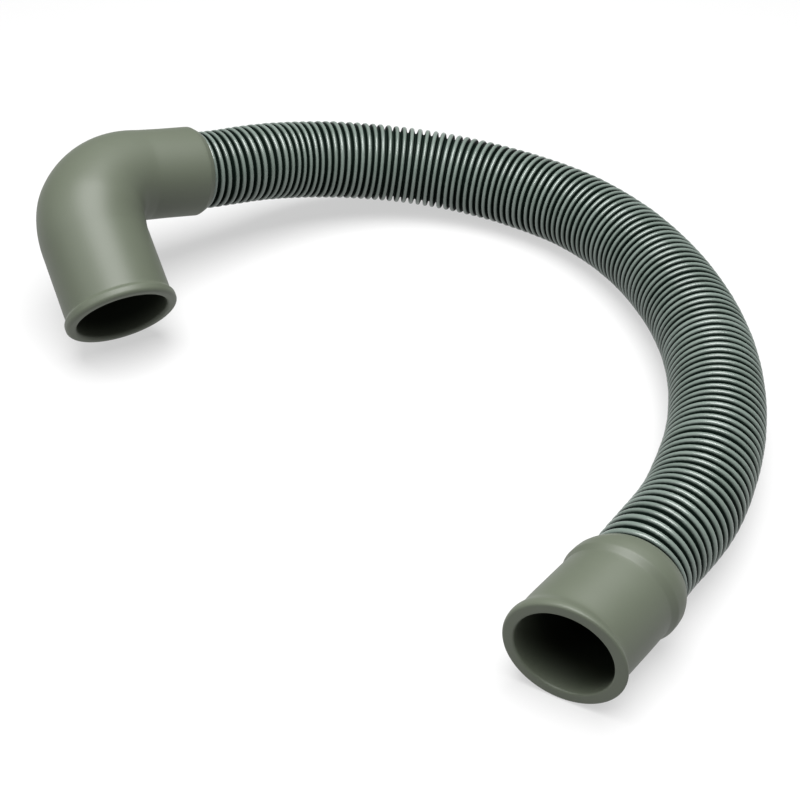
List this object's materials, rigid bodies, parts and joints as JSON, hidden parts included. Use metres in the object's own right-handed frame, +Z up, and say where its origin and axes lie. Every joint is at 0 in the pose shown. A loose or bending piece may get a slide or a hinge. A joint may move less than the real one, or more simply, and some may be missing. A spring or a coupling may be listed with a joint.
{
  "type": "dishwasher drain hose",
  "caption": "Short corrugated drain hose lying in an open curve, with a right-angled rubber elbow cuff on one end and a straight rubber cuff on the other.",
  "frame": {"origin": "on the surface that the part lies on, under the middle of the box around the two cuffs", "axes": "+Z up from the surface, +X the long way, from the elbow cuff to the straight cuff; the mouth of the straight cuff looks roughly along -Y, and the hose bows out towards +Y and +X"},
  "size_m": [0.2795, 0.2318, 0.0617],
  "materials": {
    "cuff_rubber": "soft matt sage-green moulded rubber",
    "hose_plastic": "semi-gloss grey-green flexible plastic"
  },
  "bodies": {
    "root": {"elbow_cuff": "cuff_rubber", "straight_cuff": "cuff_rubber", "corrugated_hose": "hose_plastic"}
  },
  "joints": []
}
